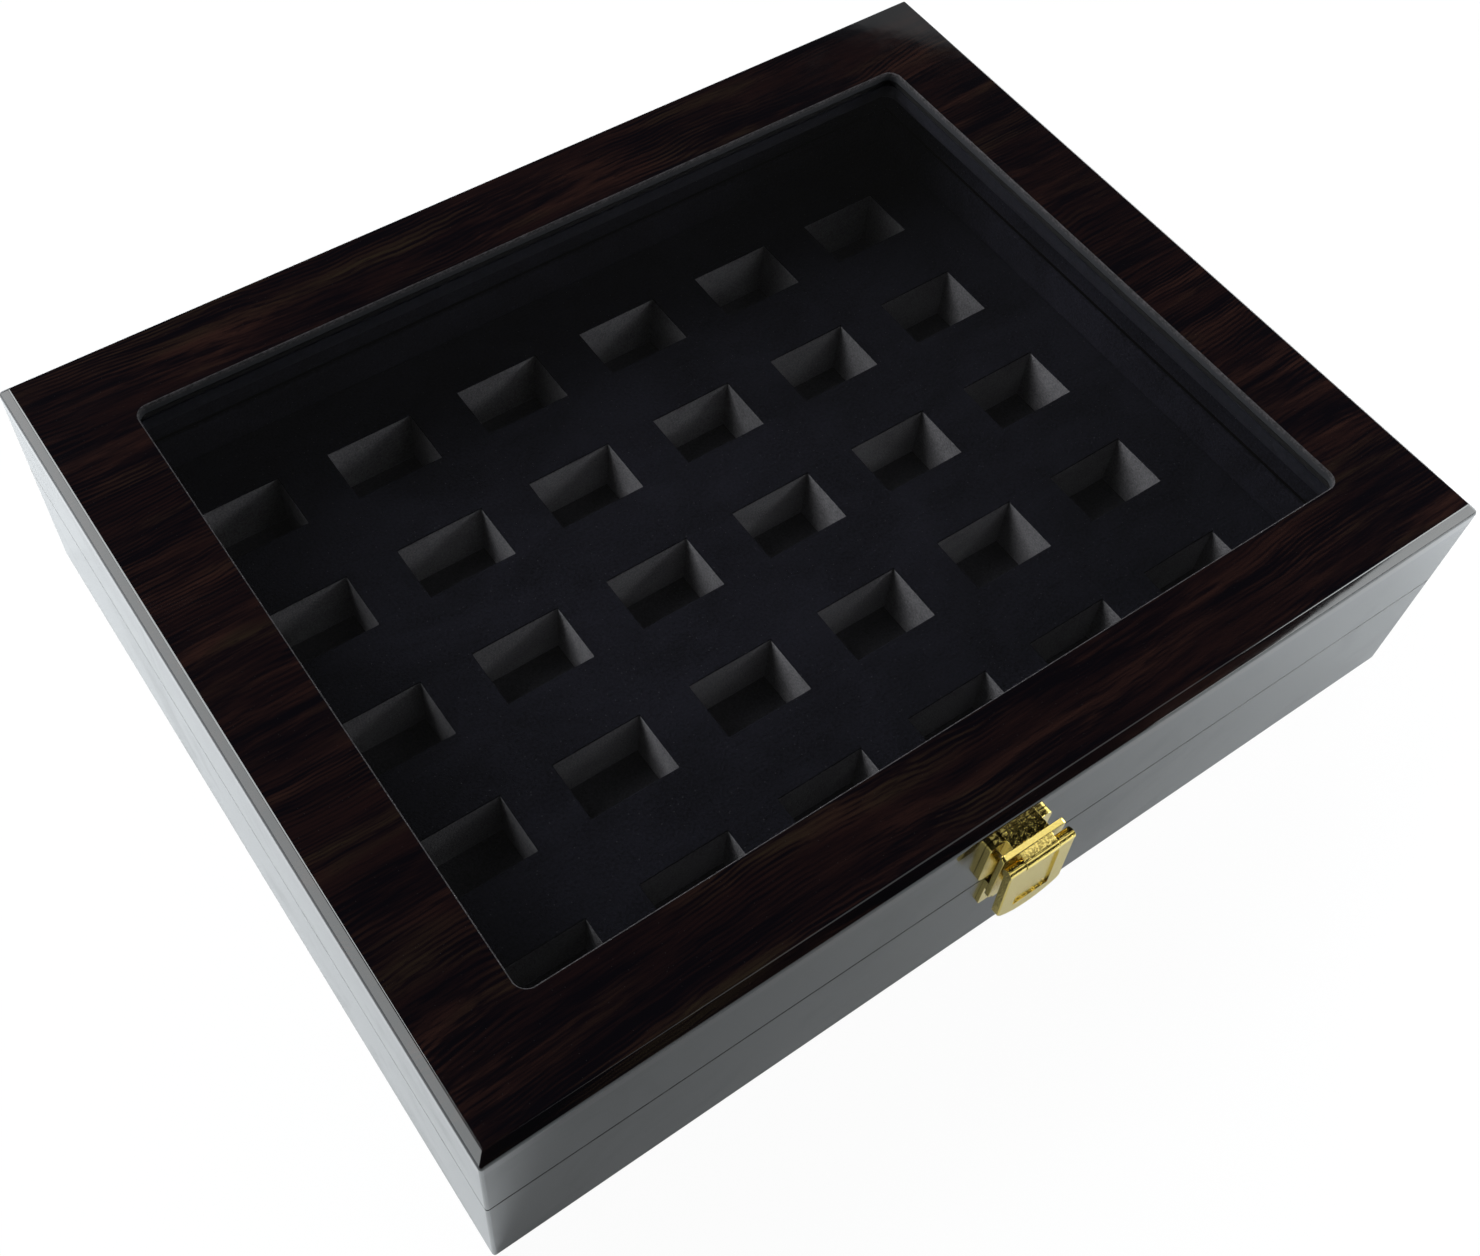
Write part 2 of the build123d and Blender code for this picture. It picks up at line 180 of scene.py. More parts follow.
class Kind(Enum):
    """Socket types of the shared effects."""

    NUMBER = "NodeSocketFloat"
    COLOUR = "NodeSocketColor"
    VECTOR = "NodeSocketVector"


Wiring = Callable[[Web, dict[str, Socket]], dict[str, Socket]]


@dataclass
class Effect:
    """A shader effect that several materials share, as a node group that is built once.

    Attributes:
        name: name of the node group.
        takes: inputs, each with its kind.
        gives: outputs, each with its kind.
        wiring: wires the group from its inputs and returns a socket for each output.
        tree: the node group, once it is built.
    """

    name: str
    takes: dict[str, Kind]
    gives: dict[str, Kind]
    wiring: Wiring
    tree: bpy.types.NodeTree | None = None

    def build(self) -> bpy.types.NodeTree:
        """Makes the node group on first use.

        Returns:
            The node group.
        """
        if self.tree is None:
            self.tree = bpy.data.node_groups.new(self.name, "ShaderNodeTree")
            for side, sockets in (("INPUT", self.takes), ("OUTPUT", self.gives)):
                for name, kind in sockets.items():
                    self.tree.interface.new_socket(name, in_out=side, socket_type=kind.value)
            web = Web(self.tree)
            start = web.node("NodeGroupInput")
            results = self.wiring(web, {name: start.outputs[name] for name in self.takes})
            web.node("NodeGroupOutput", results)
        return self.tree

    def use(self, web: Web, **values: Value) -> dict[str, Socket]:
        """Places the group in a material.

        Args:
            web: the material's web.
            values: input names to constants or sockets.

        Returns:
            The group's outputs by name.
        """
        placed = web.node("ShaderNodeGroup", values, node_tree=self.build())
        return {name: placed.outputs[name] for name in self.gives}


@dataclass(frozen=True)
class GrainLayer:
    """One layer of the veneer's grain.

    Attributes:
        waves: waves per metre along the grain and across it.
        rough: strength of its finer waves.
        share: its share of the tone.
    """

    waves: Pair
    rough: float
    share: float


BELTS = GrainLayer((16.0, 140.0), 0.50, 0.46)
STREAKS = GrainLayer((28.0, 540.0), 0.55, 0.30)
HAIRS = GrainLayer((90.0, 1500.0), 0.60, 0.24)

RIB_TURNS = 4100.0
RIB_BEND = 12.0
RIB_SHARE = 0.065

LINT_COLOUR: Colour = (0.22, 0.22, 0.23)


def wire_grain(web: Web, given: dict[str, Socket]) -> dict[str, Socket]:
    """Wires dark veneer with the grain along X: belts, streaks, hairs and fine ribs that sway a little.

    Args:
        web: the group's web.
        given: Vector, and the colours Dark, Brown, Pale and Olive.

    Returns:
        Color of the veneer.
    """
    place = given["Vector"]
    drift = web.times(web.streaks(place, (6.0, 14.0), 2.0), 17.0 * MM)
    ripple = web.times(web.streaks(place, (70.0, 34.0), 1.0), 0.9 * MM)
    sway = web.plus(drift, ripple)
    shift = web.node("ShaderNodeCombineXYZ", {"Y": sway, "Z": sway}).outputs[0]
    swayed = web.node("ShaderNodeVectorMath", {0: place, 1: shift}, operation="ADD").outputs[0]

    belts, streaks, hairs = (web.times(web.streaks(swayed, layer.waves, 2.0, layer.rough), layer.share)
                             for layer in (BELTS, STREAKS, HAIRS))
    mixed = web.plus(web.plus(belts, streaks), hairs)

    parts = web.parts(swayed)
    across = web.times(web.plus(parts[1], parts[2]), RIB_TURNS)
    bend = web.times(web.streaks(place, (26.0, 60.0), 2.0), RIB_BEND)
    ribs = web.maths("SINE", web.plus(across, bend))
    patches = web.remap(web.streaks(place, (22.0, 60.0), 1.0), 0.40, 0.62)
    mixed = web.plus(mixed, web.times(web.times(ribs, patches), RIB_SHARE))

    tone = web.remap(mixed, 0.37, 0.63)
    brown = web.blend(web.remap(tone, 0.15, 0.85), given["Dark"], given["Brown"])
    hue = web.remap(web.streaks(place, (16.0, 60.0), 1.0), 0.46, 0.58)
    pale = web.blend(hue, given["Pale"], given["Olive"])
    warmth = web.remap(web.streaks(swayed, (14.0, 120.0), 2.0), 0.42, 0.64)
    colour = web.blend(web.times(web.remap(tone, 0.40, 1.0), warmth), brown, pale)
    pores = web.remap(web.streaks(swayed, (260.0, 2600.0), 1.0), 0.62, 0.72)
    return {"Color": web.blend(web.times(pores, 0.5), colour, given["Dark"])}


def wire_pile(web: Web, given: dict[str, Socket]) -> dict[str, Socket]:
    """Wires short pile or open cells: a fine fuzz, brushed patches and stray pale fibres.

    Args:
        web: the group's web.
        given: Vector, the colours Dark and Light, Fineness in waves per metre, and Lint as a strength.

    Returns:
        Color, and Height of the fuzz.
    """
    place = given["Vector"]
    fuzz = web.cloud(place, given["Fineness"], 2.0, 0.7)
    patches = web.cloud(web.stretch(place, (30.0, 44.0, 44.0)), 1.0, 4.0, 0.6, 0.6)
    lift = web.plus(web.times(web.remap(fuzz, 0.3, 0.7), 0.65),
                    web.times(web.remap(patches, 0.35, 0.65), 0.35))
    colour = web.blend(lift, given["Dark"], given["Light"])
    stray = web.times(web.remap(web.cells(place, 420.0), 0.10, 0.04), given["Lint"])
    return {"Color": web.blend(stray, colour, LINT_COLOUR), "Height": fuzz}


def wire_handling(web: Web, given: dict[str, Socket]) -> dict[str, Socket]:
    """Wires handling marks: cloudy smears and fine dust.

    Args:
        web: the group's web.
        given: Vector, Roughness of the clean surface, and Smears as what they add to it.

    Returns:
        Roughness, and Dust as a mask.
    """
    place = given["Vector"]
    smears = web.remap(web.cloud(web.stretch(place, (18.0, 26.0, 22.0)), 1.0, 5.0, 0.6, 1.2), 0.5, 0.72)
    rough = web.maths("ADD", given["Roughness"], web.times(smears, given["Smears"]), clamp=True)
    return {"Roughness": rough, "Dust": web.remap(web.cells(place, 560.0), 0.07, 0.03)}


def wire_skin(web: Web, given: dict[str, Socket]) -> dict[str, Socket]:
    """Wires the skin of plated metal: soft waves and fine pits left by the casting or the press.

    Args:
        web: the group's web.
        given: Vector, and Wave and Pit in waves per metre.

    Returns:
        Height, and Pits as a mask.
    """
    place = given["Vector"]
    waves = web.cloud(place, given["Wave"], 2.0, 0.5)
    pits = web.remap(web.cloud(place, given["Pit"], 2.0, 0.6), 0.35, 0.65)
    return {"Height": web.plus(web.times(waves, 0.7), web.times(pits, 0.3)), "Pits": pits}


GRAIN = Effect("veneer_grain",
               {"Vector": Kind.VECTOR, "Dark": Kind.COLOUR, "Brown": Kind.COLOUR, "Pale": Kind.COLOUR,
                "Olive": Kind.COLOUR},
               {"Color": Kind.COLOUR}, wire_grain)
PILE = Effect("soft_pile",
              {"Vector": Kind.VECTOR, "Dark": Kind.COLOUR, "Light": Kind.COLOUR, "Fineness": Kind.NUMBER,
               "Lint": Kind.NUMBER},
              {"Color": Kind.COLOUR, "Height": Kind.NUMBER}, wire_pile)
HANDLING = Effect("handling_marks",
                  {"Vector": Kind.VECTOR, "Roughness": Kind.NUMBER, "Smears": Kind.NUMBER},
                  {"Roughness": Kind.NUMBER, "Dust": Kind.NUMBER}, wire_handling)
SKIN = Effect("plated_skin",
              {"Vector": Kind.VECTOR, "Wave": Kind.NUMBER, "Pit": Kind.NUMBER},
              {"Height": Kind.NUMBER, "Pits": Kind.NUMBER}, wire_skin)


# Finishes


class GrainRun(Enum):
    """Which way the veneer's grain runs on a board."""

    ALONG_X = "along_x"
    ALONG_Y = "along_y"


def new_material(name: str) -> tuple[bpy.types.Material, Web, Socket]:
    """Makes an empty material.

    Args:
        name: name of the material.

    Returns:
        The material, its web and the object coordinates to texture it with.
    """
    material = bpy.data.materials.new(name)
    material.use_nodes = True
    material.node_tree.nodes.clear()
    web = Web(material.node_tree)
    return material, web, web.node("ShaderNodeTexCoord").outputs["Object"]


def finish_with(web: Web, shader: bpy.types.Node) -> None:
    """Ends a material with the shader of its surface."""
    web.node("ShaderNodeOutputMaterial", {"Surface": shader.outputs[0]})


def scaled(colour: Colour, share: float) -> Colour:
    """Returns a colour made darker or lighter."""
    return tuple(share * channel for channel in colour)


@dataclass(frozen=True)
class Tones:
    """The colours of a veneer.

    Attributes:
        dark: its dark belts and pores.
        brown: the wood between them.
        pale: its light streaks where they are reddish.
        olive: its light streaks elsewhere.
    """

    dark: Colour
    brown: Colour
    pale: Colour
    olive: Colour


LID_TONES = Tones((0.0015, 0.0010, 0.0019), (0.0068, 0.0028, 0.0029), (0.0165, 0.0071, 0.0055),
                  (0.0126, 0.0086, 0.0052))
# Painted shade: the walls' veneer tones are a darker, greyer copy of the lid's tones, standing in for the
# shade on the upright walls.
SHADED_WALL_TONES = Tones((0.0009, 0.0010, 0.0012), (0.0022, 0.0018, 0.0019), (0.0044, 0.0030, 0.0027),
                   (0.0036, 0.0033, 0.0026))


@dataclass(frozen=True)
class Veneer:
    """Dark streaked veneer under a clear gloss lacquer.

    Attributes:
        name: name of the material.
        tones: colours of the veneer.
        grain: which way the grain runs.
        gloss: roughness of the lacquer where it is clean.
        window: half width and half depth of a window cut through the board, whose bare edge is painted.
        cut_paint: colour of the paint on that edge.
        cut_core: colour of the edge below the paint.
        paint_levels: where the paint starts and where it is full.
        peel: depth of the lacquer's waves.
    """

    name: str
    tones: Tones
    grain: GrainRun = GrainRun.ALONG_X
    gloss: float = 0.05
    window: Pair | None = None
    cut_paint: Colour = (0.025, 0.023, 0.026)
    cut_core: Colour = (0.0075, 0.0080, 0.0110)
    paint_levels: Pair = (87.2 * MM, 87.7 * MM)
    peel: float = 0.01 * MM

    def material(self) -> bpy.types.Material:
        """Makes the material.

        Returns:
            The lacquered veneer.
        """
        made, web, place = new_material(self.name)
        along = place
        if self.grain is GrainRun.ALONG_Y:
            parts = web.parts(place)
            along = web.node("ShaderNodeCombineXYZ", {"X": parts[1], "Y": parts[0], "Z": parts[2]}).outputs[0]
        tones = self.tones
        grain = GRAIN.use(web, Vector=along, Dark=tones.dark, Brown=tones.brown, Pale=tones.pale,
                          Olive=tones.olive)
        marks = HANDLING.use(web, Vector=place, Roughness=self.gloss, Smears=0.05)
        colour = web.blend(web.times(marks["Dust"], 0.05), grain["Color"], (0.3, 0.3, 0.3))
        rough = marks["Roughness"]
        if self.window is not None:
            cut = self.cut_mask(web, place)
            colour = web.blend(cut, colour, self.paint(web, place))
            rough = web.between(cut, rough, 0.9)
        normal = web.bump(web.cloud(place, 130.0, 2.0, 0.4), self.peel)
        finish_with(web, web.node("ShaderNodeBsdfPrincipled", {
            "Base Color": colour, "Roughness": rough, "IOR": 1.5, "Specular Tint": (0.93, 0.99, 1.0),
            "Normal": normal}))
        return made

    def cut_mask(self, web: Web, place: Socket) -> Socket:
        """Finds the cut edge of the window.

        Args:
            web: the material's web.
            place: object coordinates.

        Returns:
            1 on the cut edge and 0 elsewhere.
        """
        parts = web.parts(place)
        inside_x, inside_y = (web.maths("LESS_THAN", web.maths("ABSOLUTE", part), half)
                              for part, half in zip(parts, self.window))
        normal = web.node("ShaderNodeTexCoord").outputs["Normal"]
        upright = web.remap(web.maths("ABSOLUTE", web.parts(normal)[2]), 0.98, 0.85)
        return web.times(web.times(inside_x, inside_y), upright)

    def paint(self, web: Web, place: Socket) -> Socket:
        """Paints the cut edge, speckled where the paint is thin.

        Args:
            web: the material's web.
            place: object coordinates.

        Returns:
            The edge's colour.
        """
        speckle = web.remap(web.cloud(place, 1000.0, 3.0, 0.75), 0.42, 0.62)
        paint = web.blend(speckle, scaled(self.cut_paint, 0.35), scaled(self.cut_paint, 1.9))
        covered = web.remap(web.parts(place)[2], *self.paint_levels)
        return web.blend(covered, self.cut_core, paint)


@dataclass(frozen=True)
class Pile:
    """A soft surface: velvet, foam or felt.

    Attributes:
        name: name of the material.
        dark: colour in the hollows of the pile.
        light: colour of its tips.
        fineness: how many tufts or cells per metre, roughly.
        depth: how deep they are.
        sheen: weight of the sheen.
        lint: how strongly stray pale fibres show.
    """

    name: str
    dark: Colour
    light: Colour
    fineness: float
    depth: float
    sheen: float
    lint: float = 0.0

    def material(self) -> bpy.types.Material:
        """Makes the material.

        Returns:
            The soft surface.
        """
        made, web, place = new_material(self.name)
        pile = PILE.use(web, Vector=place, Dark=self.dark, Light=self.light, Fineness=self.fineness,
                        Lint=self.lint)
        finish_with(web, web.node("ShaderNodeBsdfPrincipled", {
            "Base Color": pile["Color"], "Roughness": 0.95, "Specular IOR Level": 0.04,
            "Sheen Weight": self.sheen, "Sheen Roughness": 0.45, "Sheen Tint": (0.62, 0.68, 0.80),
            "Normal": web.bump(pile["Height"], self.depth)}))
        return made


INSERT_VELVET = Pile("insert_velvet", (0.0007, 0.0008, 0.0013), (0.0103, 0.0106, 0.0160), 1000.0, 0.4 * MM,
                     0.01, 0.2)
# Painted light: the lining's velvet is a lighter copy of the insert's velvet, standing in for light that the
# shaded lining walls don't get.
BRIGHTENED_LINING_VELVET = Pile("brightened_lining_velvet", (0.0014, 0.0014, 0.0022), (0.0173, 0.0176, 0.0262), 1000.0, 0.4 * MM,
                     0.01, 0.2)
CUT_FOAM = Pile("cut_foam", (0.090, 0.090, 0.094), (0.245, 0.245, 0.252), 1300.0, 0.4 * MM, 0.0)
TAPE_FOAM = Pile("tape_foam", (0.010, 0.010, 0.010), (0.020, 0.020, 0.020), 2600.0, 0.1 * MM, 0.0)
FLOOR_FELT = Pile("floor_felt", (0.014, 0.014, 0.017), (0.044, 0.044, 0.050), 1300.0, 0.3 * MM, 0.05)
PRESSED_FELT = Pile("pressed_felt", (0.006, 0.006, 0.006), (0.020, 0.020, 0.020), 900.0, 0.3 * MM, 0.10, 0.3)


@dataclass(frozen=True)
class Plated:
    """Plated metal with a cast or pressed skin.

    Attributes:
        name: name of the material.
        colour: colour of the metal.
        worn: colour of the pits and rubbed places.
        rough: roughness of the clean skin.
        wave: waves per metre.
        depth: depth of the skin's relief.
        grain_depth: depth of the unpolished, stained skin on faces that look up, or 0 for none.
        grains: grains per metre on those faces, roughly.
        stain: how strongly the stain shows between them.
        pit: pits per metre.
    """

    name: str
    colour: Colour
    worn: Colour
    rough: float
    wave: float
    depth: float
    grain_depth: float = 0.0
    grains: float = 850.0
    stain: float = 0.93
    pit: float = 2600.0

    def material(self) -> bpy.types.Material:
        """Makes the material.

        Returns:
            The metal.
        """
        made, web, place = new_material(self.name)
        skin = SKIN.use(web, Vector=place, Wave=self.wave, Pit=self.pit)
        marks = HANDLING.use(web, Vector=place, Roughness=self.rough, Smears=0.04)
        normal = web.bump(skin["Height"], self.depth)
        colour = web.blend(web.times(skin["Pits"], 0.35), self.colour, self.worn)
        if self.grain_depth:
            facing = web.parts(web.node("ShaderNodeTexCoord").outputs["Normal"])[2]
            level = web.remap(facing, 0.95, 0.99)
            grains = web.cloud(place, self.grains, 2.0, 0.7)
            stained = web.times(web.remap(grains, 0.58, 0.47), web.times(level, self.stain))
            colour = web.blend(stained, colour, scaled(self.worn, 0.12))
            normal = web.node("ShaderNodeBump", {"Height": web.times(grains, level),
                                                 "Distance": self.grain_depth, "Normal": normal}).outputs[0]
        finish_with(web, web.node("ShaderNodeBsdfPrincipled", {
            "Base Color": colour, "Metallic": 1.0, "Roughness": marks["Roughness"], "Normal": normal}))
        return made


WARM_BRASS = Plated("warm_brass", (0.78, 0.58, 0.27), (0.50, 0.36, 0.17), 0.24, 180.0, 0.03 * MM)
GILT = Plated("gilt", (0.95, 0.78, 0.24), (0.68, 0.46, 0.09), 0.07, 420.0, 0.05 * MM, 0.20 * MM)


@dataclass(frozen=True)
class ClearGlass:
    """Clear float glass that lets the lamps through.

    Attributes:
        name: name of the material.
        tint: colour of the glass.
        passed: share of the lamps' light that reaches what lies behind it.
    """

    name: str = "window_glass"
    tint: Colour = (0.955, 0.955, 0.965)
    passed: Colour = (0.87, 0.87, 0.88)

    def material(self) -> bpy.types.Material:
        """Makes the material.

        Returns:
            The glass.
        """
        made, web, place = new_material(self.name)
        marks = HANDLING.use(web, Vector=place, Roughness=0.0, Smears=0.012)
        pane = web.node("ShaderNodeBsdfPrincipled", {
            "Base Color": self.tint, "Roughness": marks["Roughness"], "IOR": 1.5, "Transmission Weight": 1.0})
        clear = web.node("ShaderNodeBsdfTransparent", {"Color": self.passed})
        path = web.node("ShaderNodeLightPath").outputs
        through = web.maths("MAXIMUM", path["Is Shadow Ray"], path["Is Diffuse Ray"])
        finish_with(web, web.mixed(through, pane, clear))
        return made


@dataclass(frozen=True)
class Board:
    """Dense fibreboard stained black: faint fibres, matt.

    Attributes:
        name: name of the material.
        stain: colour of the stained board.
        fibre: colour of its fibres.
        shine: specular level.
    """

    name: str
    stain: Colour
    fibre: Colour
    shine: float

    def material(self) -> bpy.types.Material:
        """Makes the material.

        Returns:
            The stained board.
        """
        made, web, place = new_material(self.name)
        fibres = web.cloud(place, 700.0, 4.0, 0.7, 0.4)
        marks = HANDLING.use(web, Vector=place, Roughness=0.55, Smears=0.12)
        colour = web.blend(web.remap(fibres, 0.35, 0.7), self.stain, self.fibre)
        finish_with(web, web.node("ShaderNodeBsdfPrincipled", {
            "Base Color": colour, "Roughness": marks["Roughness"], "Specular IOR Level": self.shine,
            "Normal": web.bump(fibres, 0.08 * MM)}))
        return made


STAINED_BOARD = Board("stained_board", (0.012, 0.011, 0.011), (0.030, 0.026, 0.023), 0.5)
FRAME_BOARD = Board("black_frame_board", (0.0036, 0.0040, 0.0064), (0.0110, 0.0120, 0.0180), 0.2)


# Meshes


def link_piece(name: str, form: Form, smooth: bool = False) -> Piece:
    """Turns a bmesh into a piece in the scene.

    Args:
        name: name of the piece.
        form: its faces; freed here.
        smooth: whether its faces are shaded smooth.

    Returns:
        The new object.
    """
    bmesh.ops.recalc_face_normals(form, faces=form.faces)
    mesh = bpy.data.meshes.new(name)
    form.to_mesh(mesh)
    form.free()
    mesh.polygons.foreach_set("use_smooth", [smooth] * len(mesh.polygons))
    piece = bpy.data.objects.new(name, mesh)
    bpy.context.scene.collection.objects.link(piece)
    return piece


def apply_modifiers(piece: Piece) -> None:
    """Applies all of a piece's modifiers to its mesh.

    Args:
        piece: the piece.
    """
    shaped = bpy.data.meshes.new_from_object(piece.evaluated_get(bpy.context.evaluated_depsgraph_get()))
    piece.modifiers.clear()
    old = piece.data
    piece.data = shaped
    bpy.data.meshes.remove(old)


def clean_slivers(piece: Piece, size: float = 0.004 * MM) -> None:
    """Joins points that a rounding has brought together and takes out faces without area.

    Args:
        piece: the piece.
        size: how near the points are, at most.
    """
    form = bmesh.new()
    form.from_mesh(piece.data)
    bmesh.ops.remove_doubles(form, verts=form.verts, dist=size)
    bmesh.ops.dissolve_degenerate(form, dist=size, edges=form.edges)
    form.to_mesh(piece.data)
    form.free()


def soften(piece: Piece, width: float, segments: int = 2, angle: float = 35.0,
           by_weight: bool = False) -> None:
    """Rounds the sharp edges of a piece.

    Args:
        piece: a closed mesh.
        width: width of the rounding.
        segments: faces across it.
        angle: edges turned by more than this, in degrees, are rounded.
        by_weight: whether the edges' own weights choose and scale the rounding instead.
    """
    bevel = piece.modifiers.new("soft_edges", "BEVEL")
    bevel.width = width
    bevel.segments = segments
    bevel.limit_method = "WEIGHT" if by_weight else "ANGLE"
    bevel.angle_limit = math.radians(angle)
    apply_modifiers(piece)
    clean_slivers(piece)
    piece.data.polygons.foreach_set("use_smooth", [True] * len(piece.data.polygons))
    flat = piece.modifiers.new("flat_faces", "WEIGHTED_NORMAL")
    flat.weight = 90
    flat.keep_sharp = True
    apply_modifiers(piece)


def cleaned_form(node: str) -> Form:
    """Copies a CAD node's faces, with the triangles of each flat face joined.

    Args:
        node: name of the CAD node.

    Returns:
        The new faces.
    """
    form = bmesh.new()
    form.from_mesh(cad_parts[node].data)
    bmesh.ops.remove_doubles(form, verts=form.verts, dist=0.002 * MM)
    bmesh.ops.dissolve_limit(form, angle_limit=math.radians(1.0), verts=form.verts, edges=form.edges)
    return form


def softened_copy(node: str, name: str, width: float) -> Piece:
    """Copies a CAD node with its sharp edges rounded, to stand for it.

    Args:
        node: name of the CAD node.
        name: name of the new piece.
        width: width of the rounding.

    Returns:
        The new piece.
    """
    piece = link_piece(name, cleaned_form(node), smooth=True)
    soften(piece, width)
    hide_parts(node)
    return piece


def rounded_board(name: str, low: Point, high: Point, radius: float, segments: int = 3) -> Piece:
    """Makes a board between two corners with all its edges rounded.

    Args:
        name: name of the piece.
        low: its lowest corner.
        high: its highest corner.
        radius: radius of the rounding.
        segments: faces across it.

    Returns:
        The new piece.
    """
    form = bmesh.new()
    bmesh.ops.create_cube(form, size=1.0)
    for corner in form.verts:
        corner.co = Vector([a + (b - a) * (c + 0.5) for a, b, c in zip(low, high, corner.co)])
    bmesh.ops.bevel(form, geom=form.edges[:], offset=radius, segments=segments, profile=0.5, affect="EDGES")
    return link_piece(name, form, smooth=True)


def ring_strip(name: str, inner: Pair, outer: Pair, levels: Pair, radius: float) -> Piece:
    """Makes a flat strip that runs round a rectangle, with its edges rounded.

    Args:
        name: name of the piece.
        inner: half width and half depth of its inside.
        outer: half width and half depth of its outside.
        levels: level of its underside and of its top.
        radius: radius of the rounding.

    Returns:
        The new piece.
    """
    form = bmesh.new()
    low, high = levels
    corners = ((-1, -1), (1, -1), (1, 1), (-1, 1))
    rings = [[form.verts.new((half[0] * x, half[1] * y, level)) for x, y in corners]
             for half, level in ((outer, low), (outer, high), (inner, high), (inner, low))]
    for first, second in zip(rings, rings[1:] + rings[:1]):
        for i in range(4):
            form.faces.new((first[i], first[(i + 1) % 4], second[(i + 1) % 4], second[i]))
    piece = link_piece(name, form)
    soften(piece, radius)
    return piece


@dataclass
class Slots:
    """The grid of slots in the insert.

    Attributes:
        length: size of a slot along X.
        width: size along Y.
        pitch_x: distance between slots along X.
        pitch_y: distance along Y.
        columns: slots along X.
        rows: slots along Y.
        cuts: how often the walls of a slot are divided.
        thin: a sheet thinner than this has its walls divided only along their length.
        wander: how far the cut walls leave a true plane, as a die leaves them.
        seed: set as the noise module's random seed before the walls move; the wander's noise doesn't read it,
            and every run gives the same walls.
        rim: what lies this near to the outer sides stays straight.
    """

    length: float = 31.8 * MM
    width: float = 21.6 * MM
    pitch_x: float = 50.5 * MM
    pitch_y: float = 47.0 * MM
    columns: int = 6
    rows: int = 5
    cuts: int = 7
    thin: float = 5.0 * MM
    wander: float = 0.16 * MM
    seed: int = 1
    rim: float = 1.0 * MM

    @property
    def area(self) -> float:
        """The area of all slots together."""
        return self.length * self.width * self.columns * self.rows

    def lines(self, count: int, pitch: float, size: float, half: float) -> list[float]:
        """Lays out the grid lines across one direction.

        Args:
            count: slots in this direction.
            pitch: distance between them.
            size: size of one.
            half: half the size of the block.

        Returns:
            Both outer edges and the two edges of each slot, in order.
        """
        places = [-half]
        for i in range(count):
            middle = (i - (count - 1) / 2) * pitch
            places += [middle - size / 2, middle + size / 2]
        return places + [half]

    def pierced_sheet(self, half: Pair, level: float) -> Form:
        """Makes a flat sheet with a hole for every slot.

        Args:
            half: half width and half depth of the sheet.
            level: its height.

        Returns:
            The sheet's faces.
        """
        xs = self.lines(self.columns, self.pitch_x, self.length, half[0])
        ys = self.lines(self.rows, self.pitch_y, self.width, half[1])
        form = bmesh.new()
        grid = [[form.verts.new((x, y, level)) for x in xs] for y in ys]
        for j in range(len(ys) - 1):
            for i in range(len(xs) - 1):
                if i % 2 == 0 or j % 2 == 0:
                    form.faces.new((grid[j][i], grid[j][i + 1], grid[j + 1][i + 1], grid[j + 1][i]))
        return form

    def within(self, place: Vector, half: Pair) -> bool:
        """Returns whether a point lies inside the rim of a block."""
        return abs(place.x) < half[0] - self.rim and abs(place.y) < half[1] - self.rim

    def shift(self, place: Vector) -> Vector:
        """Measures how far a point of a cut wall lies from its true place.

        Args:
            place: its true place.

        Returns:
            How far it has moved along each axis.
        """
        slow = noise.noise_vector(Vector((place.x * 45.0, place.y * 45.0, place.z * 60.0)))
        fine = noise.noise_vector(Vector((place.x * 260.0, place.y * 260.0, place.z * 90.0)))
        return (slow * 0.7 + fine * 0.3) * self.wander

    def block(self, name: str, half: Pair, low: float, high: float) -> Piece:
        """Makes a block pierced by every slot, whose cut walls wander a little.

        Args:
            name: name of the piece.
            half: half width and half depth of the block.
            low: level of its underside.
            high: level of its top.

        Returns:
            The new piece.
        """
        form = self.pierced_sheet(half, high)
        grown = bmesh.ops.extrude_face_region(form, geom=form.faces[:])
        for corner in (part for part in grown["geom"] if isinstance(part, bmesh.types.BMVert)):
            corner.co.z = low
        bmesh.ops.recalc_face_normals(form, faces=form.faces)
        walls = [face for face in form.faces
                 if abs(face.normal.z) < 0.5 and self.within(face.calc_center_median(), half)]
        whole = high - low >= self.thin
        edges = [edge for edge in dict.fromkeys(side for face in walls for side in face.edges)
                 if whole or abs(edge.verts[0].co.z - edge.verts[1].co.z) < 0.001 * MM]
        bmesh.ops.subdivide_edges(form, edges=edges, cuts=self.cuts, use_grid_fill=True)
        noise.seed_set(self.seed)
        for corner in form.verts:
            if self.within(corner.co, half):
                corner.co.xy += self.shift(corner.co).xy
        return link_piece(name, form)


# The object


def dress(name: str, material: bpy.types.Material) -> None:
    """Gives a CAD node a material, in place of the one that it came with.

    Args:
        name: name of the node.
        material: its finish.
    """
    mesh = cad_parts[name].data
    mesh.materials.clear()
    mesh.materials.append(material)
    LOG.info("dressed %s with %s", name, material.name)


def place(piece: Piece, body: str, slot: str, material: bpy.types.Material) -> None:
    """Lets a new piece ride on a body, in a finish.

    Args:
        piece: the new piece.
        body: the CAD body that carries it.
        slot: the record's material slot; not used.
        material: its finish.
    """
    piece.data.materials.clear()
    piece.data.materials.append(material)
    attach(piece, body)
    LOG.info("made %s on %s with %s", piece.name, body, material.name)


